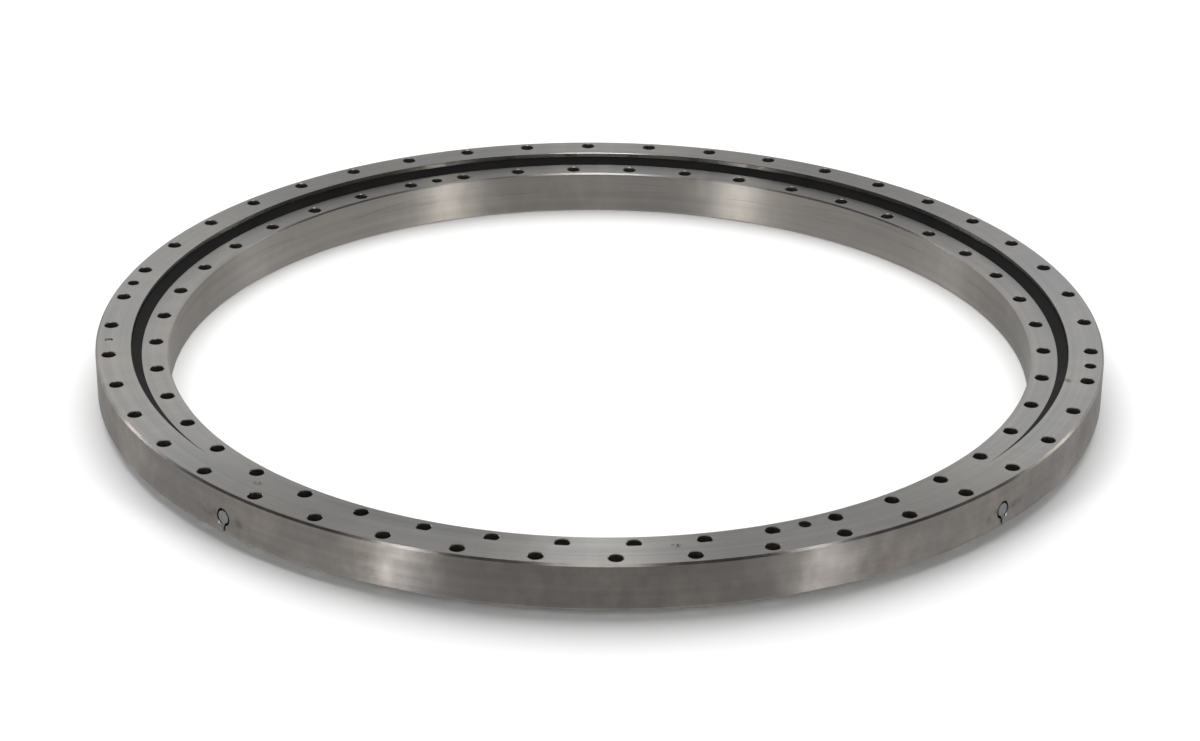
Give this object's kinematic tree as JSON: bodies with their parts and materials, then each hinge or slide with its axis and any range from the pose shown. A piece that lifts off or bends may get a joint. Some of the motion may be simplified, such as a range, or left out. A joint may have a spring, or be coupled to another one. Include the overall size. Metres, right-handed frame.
{
  "type": "slewing ring bearing",
  "caption": "Ungeared four-point-contact slewing ring: two bolted steel rings turning on balls, with lip seals, a filling plug and grease nipples in the rim.",
  "frame": {"origin": "on the axis of rotation, in the plane of the inner ring's lower face", "axes": "+Z is the axis of rotation, towards the face of the outer ring that stands proud"},
  "size_m": [1.0159, 1.016, 0.056],
  "materials": {
    "ring_steel": "fine turned",
    "pin_steel": "ground",
    "ball_steel": "polished",
    "seal_rubber": "matt black",
    "spacer_plastic": "matt",
    "cap_plastic": "satin",
    "plated_steel": "zinc plated"
  },
  "bodies": {
    "inner": {"inner_ring": "ring_steel", "upper_seal": "seal_rubber"},
    "outer": {"outer_ring": "ring_steel", "lower_seal": "seal_rubber", "filling_plug": "ring_steel", "filling_plug_pin": "pin_steel", "grease_nipple_1": "plated_steel", "grease_nipple_2": "plated_steel", "grease_nipple_3": "plated_steel", "grease_nipple_4": "plated_steel"},
    "rolling_set": {"ball_set_01": "ball_steel", "ball_set_02": "ball_steel", "ball_set_03": "ball_steel", "ball_set_04": "ball_steel", "ball_set_05": "ball_steel", "ball_set_06": "ball_steel", "ball_set_07": "ball_steel", "ball_set_08": "ball_steel", "ball_set_09": "ball_steel", "ball_set_10": "ball_steel", "ball_set_11": "ball_steel", "ball_set_12": "ball_steel", "spacer_set_01": "spacer_plastic", "spacer_set_02": "spacer_plastic", "spacer_set_03": "spacer_plastic", "spacer_set_04": "spacer_plastic", "spacer_set_05": "spacer_plastic", "spacer_set_06": "spacer_plastic", "spacer_set_07": "spacer_plastic", "spacer_set_08": "spacer_plastic", "spacer_set_09": "spacer_plastic", "spacer_set_10": "spacer_plastic", "spacer_set_11": "spacer_plastic", "spacer_set_12": "spacer_plastic"},
    "nipple_cap_1": {"nipple_cap_1": "cap_plastic"},
    "nipple_cap_2": {"nipple_cap_2": "cap_plastic"},
    "nipple_cap_3": {"nipple_cap_3": "cap_plastic"},
    "nipple_cap_4": {"nipple_cap_4": "cap_plastic"}
  },
  "joints": [
    {"name": "ring_rotation", "type": "hinge", "parent": "inner", "child": "outer", "pos_m": [0, 0, 0.028], "axis": [0, 0, 1], "continuous": true},
    {"name": "ball_orbit", "type": "hinge", "parent": "inner", "child": "rolling_set", "pos_m": [0, 0, 0.028], "axis": [0, 0, 1], "continuous": true},
    {"name": "cap_1_pull", "type": "slide", "parent": "outer", "child": "nipple_cap_1", "axis": [0.676, 0.7369, 0], "range_m": [0, 0.012]},
    {"name": "cap_2_pull", "type": "slide", "parent": "outer", "child": "nipple_cap_2", "axis": [-0.7369, 0.676, 0], "range_m": [0, 0.012]},
    {"name": "cap_3_pull", "type": "slide", "parent": "outer", "child": "nipple_cap_3", "axis": [-0.676, -0.7369, 0], "range_m": [0, 0.012]},
    {"name": "cap_4_pull", "type": "slide", "parent": "outer", "child": "nipple_cap_4", "axis": [0.7369, -0.676, 0], "range_m": [0, 0.012]}
  ],
  "couplings": [
    {"joint": "ball_orbit", "follows": "ring_rotation", "ratio": 0.50749}
  ]
}
